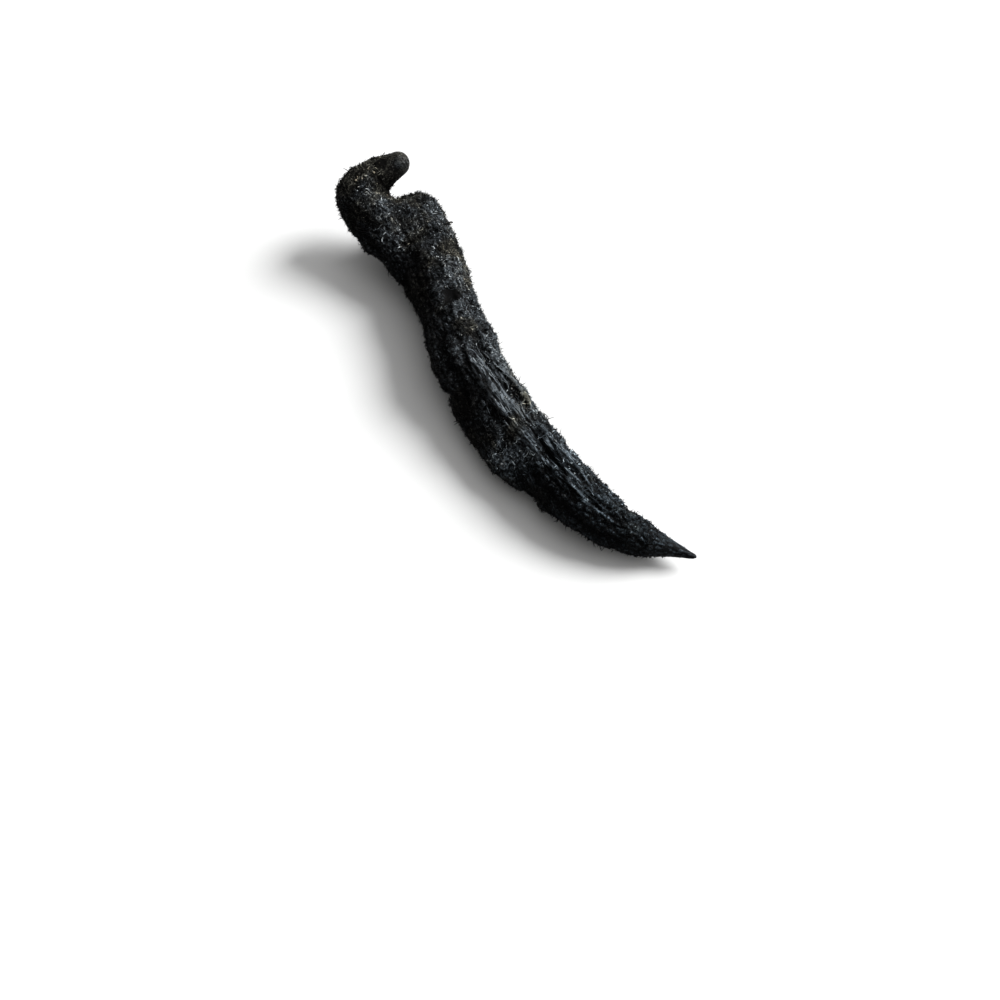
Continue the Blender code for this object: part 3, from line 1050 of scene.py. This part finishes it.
def make_rootlets(settings, skin):
    ground = Ground(skin.data)
    draw = np.random.default_rng(settings.seed)
    tree = BVHTree.FromPolygons([tuple(p) for p in ground.points], ground.triangles.tolist())
    above = (1 - ground.bare) * rise(ground.points[:, 2], 1.0 * MM, 2.0 * MM)
    brown = bristle_material("rootlet", (0.0020, 0.0018, 0.0016), (0.0105, 0.0098, 0.0090),
                             (0.070, 0.066, 0.060), 0.5)
    grey = bristle_material("vein", (0.0016, 0.0017, 0.0018), (0.018, 0.021, 0.024),
                            (0.140, 0.158, 0.170), 0.5)

    def starts(count, weight, spread):
        at, places, normals = ground.scatter(count, weight, draw)
        headings = bristle_headings(ground, at, places, normals, spread, 0.97, draw)
        # The last value lifts the tone as painted light on the side that faces the key light, and
        # in dusty patches.
        return places, normals, headings, 0.3 + 0.7 * ground.dust_and_light[at]

    spines, tones = [], []
    for place, normal, heading, dusty in zip(*starts(settings.count, above, 1.0)):
        shape = (
            draw.uniform(2.2, 8.0) * MM, draw.normal(0, 2.6), 0.25, draw.uniform(0.1, 0.4) * MM, 16
        )
        spines.append(creeping_path(tree, place, normal, heading, shape, draw))
        tones.append(dusty * draw.random())
    radii = 0.5 * settings.thickness * draw.uniform(0.6, 1.25, settings.count)
    add_tubes("rootlets", spines, radii, tones, brown)

    spines, tones = [], []
    for place, normal, heading, dusty in zip(*starts(settings.veins, above * ground.streaks, 0.05)):
        shape = (draw.uniform(3.0, 8.0) * MM, 0.0, 0.03, 0.06 * MM, 16)
        spines.append(creeping_path(tree, place, normal, heading, shape, draw))
        tones.append(dusty * draw.uniform(0.1, 0.9))
    radii = 0.5 * settings.thickness * draw.uniform(0.7, 1.2, settings.veins)
    add_tubes("streak_veins", spines, radii, tones, grey)

    spot = ground.spot
    degrees = np.degrees(spot.angle)
    knuckle = (spot.limb == HOOK_LIMB) * within(spot.place, 5 * MM, 20 * MM, 4 * MM)
    knuckle *= within(degrees, 40, 95, 15)
    tuft = (spot.limb == FINGER_LIMB) * (1 - rise(spot.place, 2 * MM, 4 * MM))
    tuft *= within(degrees, -5, 55, 15)
    head = rise(-ground.points[:, 0], 22 * MM, 40 * MM)
    tail = rise(ground.points[:, 0], 38 * MM, 46 * MM)
    often = above * (0.03 + head + 0.7 * tail + 10 * knuckle + 14 * tuft)
    spines = []
    for place, normal, heading, _ in zip(*starts(settings.stubs, often, 1.6)):
        spines.append(stiff_path(place, normal, heading, draw.uniform(0.6, 1.5) * MM, draw))
    radii = settings.thickness * draw.uniform(0.4, 1.3, settings.stubs)
    add_tubes("rootlet_stubs", spines, radii, 0.4 * draw.random(settings.stubs), brown, 0.85)


# The soil


def grain_shape():
    """A ball of twenty faces, of unit radius: points and triangles."""
    shape = bmesh.new()
    bmesh.ops.create_icosphere(shape, subdivisions=1, radius=1.0)
    points = np.array([v.co for v in shape.verts])
    triangles = np.array([[v.index for v in face.verts] for face in shape.faces])
    shape.free()
    return points, triangles


def make_soil(settings, skin):
    ground = Ground(skin.data)
    draw = np.random.default_rng(settings.seed)
    ball, faces = grain_shape()
    count = settings.count
    weight = rise(ground.points[:, 2], 0.5 * MM, 1.5 * MM) * (1 - 0.85 * ground.bare)
    weight *= np.clip(0.5 + noise_at(ground.points, 3.1 * MM, 13.0), 0.05, 1)
    at, places, normals = ground.scatter(count, weight, draw)
    sizes = 0.5 * settings.size * np.clip(draw.lognormal(0, 0.4, count), 0.4, 2.2)
    stretch = draw.uniform(0.55, 1.25, (count, 1, 3))
    dents = draw.uniform(0.75, 1.2, (count, len(ball), 1))
    grains = ball[None] * stretch * dents * sizes[:, None, None]
    grains += (places + normals * (sizes * 0.5)[:, None])[:, None]
    grains[..., 2] = np.maximum(grains[..., 2], FLOOR_GAP)
    triangles = faces[None] + len(ball) * np.arange(count)[:, None, None]
    mesh = triangle_mesh("soil_grains", grains.reshape(-1, 3), triangles.reshape(-1, 3))
    # Painted light: a grain is lighter on the side that faces the key light, as the skin is, and in
    # dusty patches.
    dust_and_light = ground.dust_and_light[at]
    tones = 1.1 * draw.random(count) ** 2.5 * (0.3 + 0.7 * dust_and_light)
    add_values(mesh, "tone", np.repeat(tones, len(ball)))
    add_values(mesh, "tip", np.zeros(count * len(ball)))
    add_values(mesh, "dust_and_light", np.repeat(dust_and_light, len(ball)))
    material = bristle_material("dry_soil", (0.004, 0.004, 0.004), (0.022, 0.022, 0.021),
                                (0.270, 0.275, 0.270), 0.8)
    add_piece("soil_grains", mesh, material, smooth=False)


# Materials


def add_node(tree, kind, inputs=None, **settings):
    """A shader node with its settings. inputs gives, by name or number, a socket or a value."""
    node = tree.nodes.new(kind)
    for name, value in settings.items():
        setattr(node, name, value)
    for key, value in (inputs or {}).items():
        if isinstance(value, bpy.types.NodeSocket):
            tree.links.new(value, node.inputs[key])
        else:
            node.inputs[key].default_value = value
    return node


def add_math(tree, operation, *values, **settings):
    """The result of one step of arithmetic on sockets and numbers."""
    inputs = dict(enumerate(values))
    return add_node(tree, "ShaderNodeMath", inputs, operation=operation, **settings).outputs[0]


def add_ramp(tree, value, start, end, low=0.0, high=1.0, smooth=True):
    """A value carried from start and end to low and high, softly or evenly."""
    inputs = {"Value": value, "From Min": start, "From Max": end, "To Min": low, "To Max": high}
    kind = "SMOOTHSTEP" if smooth else "LINEAR"
    return add_node(tree, "ShaderNodeMapRange", inputs, interpolation_type=kind).outputs[0]


def add_mix(tree, factor, first, second, **settings):
    """One colour mixed into another."""
    inputs = {"Factor": factor, 6: first, 7: second}
    return add_node(tree, "ShaderNodeMix", inputs, data_type="RGBA", **settings).outputs[2]


def new_group(name, inputs, outputs):
    """A node group with the given sockets, what it takes in and what it gives out."""
    group = bpy.data.node_groups.new(name, "ShaderNodeTree")
    for way, sockets in (("INPUT", inputs), ("OUTPUT", outputs)):
        for label, kind in sockets:
            group.interface.new_socket(label, in_out=way, socket_type="NodeSocket" + kind)
    start = group.nodes.new("NodeGroupInput")
    return group, start.outputs, group.nodes.new("NodeGroupOutput").inputs


def tone_group():
    """Colour of a bristle from its tone: dark, mid and light, lifted where dusty and by painted
    light on the key light's side, with earthy patches.
    """
    name = "Bristle Tone"
    if name in bpy.data.node_groups:
        return bpy.data.node_groups[name]
    numbers = [(label, "Float") for label in ("Tone", "Dust_And_Light", "Tip")]
    colours = [(label, "Color") for label in ("Dark", "Mid", "Light", "Earth", "Cool")]
    group, start, end = new_group(name, numbers + colours, [("Color", "Color")])
    lift = add_math(group, "MULTIPLY_ADD", start["Dust_And_Light"], 0.35, start["Tone"])
    colour = add_mix(group, add_ramp(group, lift, 0.32, 0.62), start["Dark"], start["Mid"])
    colour = add_mix(group, add_ramp(group, lift, 0.82, 1.08), colour, start["Light"])
    masks = add_node(group, "ShaderNodeGroup", node_tree=mask_group()).outputs
    for label in ("Earth", "Cool"):
        colour = add_mix(group, masks[label], colour, start[label], blend_type="MULTIPLY")
    fade = add_ramp(group, start["Tip"], 0.0, 1.0, 0.7, 1.25, smooth=False)
    bright = add_node(group, "ShaderNodeVectorMath", {0: colour, "Scale": fade}, operation="SCALE")
    group.links.new(bright.outputs[0], end["Color"])
    return group


def mask_group():
    """Where brown earth clings, in soft patches mostly at the hook, and how cool the tail is."""
    name = "Tint Masks"
    if name in bpy.data.node_groups:
        return bpy.data.node_groups[name]
    values = {"Scale": 110.0, "Head": HEAD_END * MM, "Head Fade": HEAD_FADE * MM,
              "Tail": COOL_START * MM, "Tail Fade": COOL_FADE * MM}
    group, start, end = new_group(name, [(label, "Float") for label in values],
                                  [("Earth", "Float"), ("Cool", "Float")])
    for label, value in values.items():
        group.interface.items_tree[label].default_value = value
    where = add_node(group, "ShaderNodeTexCoord").outputs["Object"]
    cloud = add_node(group, "ShaderNodeTexNoise", {
        "Vector": where, "Scale": start["Scale"], "Detail": 3.0, "Roughness": 0.6})
    x = add_node(group, "ShaderNodeSeparateXYZ", {0: where}).outputs["X"]
    before = add_math(group, "SUBTRACT", start["Head"], x)
    head = add_math(group, "DIVIDE", before, start["Head Fade"], use_clamp=True)
    beyond = add_math(group, "SUBTRACT", x, start["Tail"])
    tail = add_math(group, "DIVIDE", beyond, start["Tail Fade"], use_clamp=True)
    group.links.new(tail, end["Cool"])
    raised = add_math(group, "MULTIPLY_ADD", head, 0.10, cloud.outputs[0])
    for *spot, radius in EARTHY_SPOTS:
        middle = [MM * value for value in spot]
        away = add_node(group, "ShaderNodeVectorMath", {0: where, 1: middle}, operation="DISTANCE")
        near = add_ramp(group, away.outputs["Value"], radius * MM, 0.0, high=0.20)
        raised = add_math(group, "ADD", raised, near)
    group.links.new(add_ramp(group, raised, 0.50, 0.66), end["Earth"])
    return group


def new_material(name, roughness):
    """A material with a plain Principled BSDF, and its node tree and shader."""
    material = bpy.data.materials.new(name)
    material.use_nodes = True
    shader = material.node_tree.nodes["Principled BSDF"]
    shader.inputs["Roughness"].default_value = roughness
    shader.inputs["Metallic"].default_value = 0.0
    return material, material.node_tree, shader


def add_tone(tree, dark, mid, light, inputs):
    """The tone group with its colours, and with its other inputs as given."""
    colours = {"Dark": dark, "Mid": mid, "Light": light, "Earth": EARTH, "Cool": COOL}
    inputs = inputs | {label: (*colour, 1.0) for label, colour in colours.items()}
    return add_node(tree, "ShaderNodeGroup", inputs, node_tree=tone_group()).outputs["Color"]


def read_values(tree, name):
    """The outputs of what a mesh keeps under a name for each of its points."""
    return add_node(tree, "ShaderNodeAttribute", attribute_name=name).outputs


def bristle_material(name, dark, mid, light, roughness, shine=0.06):
    """A dry, fibrous finish whose colour differs from bristle to bristle."""
    material, tree, shader = new_material(name, roughness)
    shader.inputs["Specular IOR Level"].default_value = shine
    values = {name: read_values(tree, name.lower())["Fac"] for name in ("Tone", "Dust_And_Light", "Tip")}
    colour = add_tone(tree, dark, mid, light, values)
    tree.links.new(colour, shader.inputs["Base Color"])
    return material


def skin_material(settings):
    """The skin: hollows painted black as shade, lighter on the key light's side as painted light
    and where it is dusty, with light specks or lengthwise streaks, a fine bump.
    """
    material, tree, shader = new_material("black_bark", 0.7)
    shader.inputs["Specular IOR Level"].default_value = 0.035
    where = add_node(tree, "ShaderNodeTexCoord").outputs["Object"]
    names = ("crest", "bare", "scar_and_shade", "drawn", "line", "dust_and_light")
    traits = {name: read_values(tree, name)["Fac"] for name in names}
    drawn_out = add_node(tree, "ShaderNodeMapping", {
        "Vector": read_values(tree, "rolled")["Vector"], "Scale": (0.45, 1.0, 1.0)})
    speck, streaks, grit = (
        add_node(tree, "ShaderNodeTexNoise", {
            "Vector": vector, "Scale": scale, "Detail": detail, "Roughness": roughness}).outputs[0]
        for vector, scale, detail, roughness in (
            (where, 3200.0, 3.0, 0.65), (drawn_out.outputs[0], 2600.0, 1.5, 0.5),
            (where, 3800.0, 4.0, 0.7))
    )
    pattern = add_node(tree, "ShaderNodeMix", {"Factor": traits["drawn"], 2: speck, 3: streaks},
                       data_type="FLOAT")
    value = add_math(tree, "MULTIPLY_ADD", pattern.outputs[0], 3.2, -1.86)
    # Painted shade: the tone falls in the hollows, in the grooves and in the scars. It rises on the
    # crests and the ridges, as rubbed skin and as painted light.
    for name, factor in (("crest", 0.8), ("drawn", 0.08), ("line", 0.3), ("scar_and_shade", -1.0)):
        value = add_math(tree, "MULTIPLY_ADD", traits[name], factor, value)
    colour = add_tone(tree, settings.dark, settings.mid, settings.crest,
                      {"Tone": value, "Dust_And_Light": traits["dust_and_light"], "Tip": 0.5})
    tree.links.new(colour, shader.inputs["Base Color"])
    gloss = add_ramp(tree, traits["bare"], 0.0, 1.0, 0.72, 0.42, smooth=False)
    tree.links.new(gloss, shader.inputs["Roughness"])
    bump = add_node(tree, "ShaderNodeBump", {
        "Height": grit, "Strength": 0.8, "Distance": 0.09 * MM})
    tree.links.new(bump.outputs["Normal"], shader.inputs["Normal"])
    return material


# The stage


def camera_axes(settings):
    """Unit vectors on the floor: to the picture's right, and away from the camera."""
    azimuth = settings.camera_azimuth
    right = Vector((math.cos(azimuth), math.sin(azimuth), 0.0))
    away = Vector((-math.sin(azimuth), math.cos(azimuth), 0.0))
    return right, away


def aim(obj, place, target):
    obj.location = place
    obj.rotation_euler = (Vector(target) - Vector(place)).to_track_quat("-Z", "Y").to_euler()


def add_camera(settings):
    data = bpy.data.cameras.new("camera")
    data.lens = 50.0
    data.sensor_width = 36.0
    data.clip_start = 0.01
    camera = bpy.data.objects.new("camera", data)
    bpy.context.scene.collection.objects.link(camera)
    _, away = camera_axes(settings)
    target = Vector(settings.camera_target)
    elevation = settings.camera_elevation
    back = math.cos(elevation) * -away + math.sin(elevation) * Vector((0, 0, 1))
    aim(camera, target + settings.camera_distance * back, target)
    bpy.context.scene.camera = camera


def add_key(settings, direction):
    """A broad, even light from the given direction."""
    data = bpy.data.lights.new("key", "SUN")
    data.energy = settings.key_strength
    data.angle = settings.key_spread
    data.color = (0.99, 0.995, 1.0)
    light = bpy.data.objects.new("key", data)
    bpy.context.scene.collection.objects.link(light)
    aim(light, direction, (0.0, 0.0, 0.0))


def add_floor(settings):
    shape = bmesh.new()
    bmesh.ops.create_grid(shape, x_segments=1, y_segments=1, size=FLOOR_HALF)
    mesh = bpy.data.meshes.new("floor")
    shape.to_mesh(mesh)
    shape.free()
    material, tree, shader = new_material("pale_floor", 0.9)
    shader.inputs["Specular IOR Level"].default_value = 0.1
    where = add_node(tree, "ShaderNodeTexCoord").outputs["Object"]
    mottle = add_node(tree, "ShaderNodeTexNoise", {"Vector": where, "Scale": 9.0, "Detail": 2.0})
    shaded = [0.985 * c for c in settings.floor]
    colour = add_mix(tree, mottle.outputs[0], (*settings.floor, 1.0), (*shaded, 1.0))
    tree.links.new(colour, shader.inputs["Base Color"])
    mesh.materials.append(material)
    floor = bpy.data.objects.new("floor", mesh)
    bpy.context.scene.collection.objects.link(floor)


def add_surroundings(settings, bright_side):
    """A white tent round the rhizome, lit on one side. The camera sees it evenly white."""
    world = bpy.data.worlds.new("surroundings")
    world.use_nodes = True
    tree = world.node_tree
    back = tree.nodes["Background"]
    back.inputs["Color"].default_value = (1.0, 1.0, 1.0, 1.0)
    where = add_node(tree, "ShaderNodeTexCoord").outputs["Generated"]
    facing = add_node(tree, "ShaderNodeVectorMath", {0: where, 1: bright_side},
                      operation="DOT_PRODUCT").outputs["Value"]
    strength = add_ramp(tree, facing, 0.0, 1.0, DIM_SIDE * settings.sky, settings.sky)
    camera_ray = add_node(tree, "ShaderNodeLightPath").outputs["Is Camera Ray"]
    seen = add_node(tree, "ShaderNodeMix", {"Factor": camera_ray, 2: strength, 3: 1.0},
                    data_type="FLOAT")
    tree.links.new(seen.outputs[0], back.inputs["Strength"])
    bpy.context.scene.world = world


def make_stage(settings):
    add_floor(settings)
    add_camera(settings)
    right, away = camera_axes(settings)
    rightward, backward, upward = KEY_FROM
    bright_side = rightward * right + backward * away + upward * Vector((0, 0, 1))
    bright_side.normalize()
    add_key(settings, bright_side)
    add_surroundings(settings, bright_side)
    bpy.context.scene.view_settings.view_transform = "Standard"


# Operators, panel and registration


def the_skin():
    return bpy.data.objects["rhizome_skin"]


class RHIZOME_OT_skin(bpy.types.Operator):
    """Replace the solid with a finer, wrinkled skin of the same form"""

    bl_idname = "rhizome.skin"
    bl_label = "Skin"

    def execute(self, context):
        make_skin(context.scene.rhizome_skin)
        return {"FINISHED"}


class RHIZOME_OT_bristles(bpy.types.Operator):
    """Cover the skin with bristles, flakes and strays"""

    bl_idname = "rhizome.bristles"
    bl_label = "Bristles"

    def execute(self, context):
        make_bristles(context.scene.rhizome_bristles, the_skin())
        return {"FINISHED"}


class RHIZOME_OT_rootlets(bpy.types.Operator):
    """Let long curly rootlets creep over the skin"""

    bl_idname = "rhizome.rootlets"
    bl_label = "Rootlets"

    def execute(self, context):
        make_rootlets(context.scene.rhizome_rootlets, the_skin())
        return {"FINISHED"}


class RHIZOME_OT_soil(bpy.types.Operator):
    """Scatter grains of dry soil among the bristles"""

    bl_idname = "rhizome.soil"
    bl_label = "Soil"

    def execute(self, context):
        make_soil(context.scene.rhizome_soil, the_skin())
        return {"FINISHED"}


class RHIZOME_OT_stage(bpy.types.Operator):
    """Set up the pale floor, the soft lights and the camera"""

    bl_idname = "rhizome.stage"
    bl_label = "Stage"

    def execute(self, context):
        make_stage(context.scene.rhizome_stage)
        return {"FINISHED"}


class RHIZOME_PT_panel(bpy.types.Panel):
    """The rhizome's settings and the steps that build it"""

    bl_idname = "RHIZOME_PT_panel"
    bl_label = "Black Turmeric Rhizome"
    bl_space_type = "VIEW_3D"
    bl_region_type = "UI"
    bl_category = "Rhizome"

    def draw(self, context):
        for attribute, group, operator in STEPS:
            box = self.layout.box()
            box.operator(operator.bl_idname)
            for name in group.__annotations__:
                box.prop(getattr(context.scene, attribute), name)


STEPS = (
    ("rhizome_skin", SkinSettings, RHIZOME_OT_skin),
    ("rhizome_bristles", BristleSettings, RHIZOME_OT_bristles),
    ("rhizome_rootlets", RootletSettings, RHIZOME_OT_rootlets),
    ("rhizome_soil", SoilSettings, RHIZOME_OT_soil),
    ("rhizome_stage", StageSettings, RHIZOME_OT_stage),
)


def register():
    for attribute, group, operator in STEPS:
        bpy.utils.register_class(group)
        bpy.utils.register_class(operator)
        setattr(bpy.types.Scene, attribute, PointerProperty(type=group))
    bpy.utils.register_class(RHIZOME_PT_panel)


def unregister():
    bpy.utils.unregister_class(RHIZOME_PT_panel)
    for attribute, group, operator in reversed(STEPS):
        delattr(bpy.types.Scene, attribute)
        bpy.utils.unregister_class(operator)
        bpy.utils.unregister_class(group)


def main():
    register()
    bpy.ops.rhizome.skin()
    bpy.ops.rhizome.bristles()
    bpy.ops.rhizome.rootlets()
    bpy.ops.rhizome.soil()
    bpy.ops.rhizome.stage()


if __name__ == "__main__":
    main()
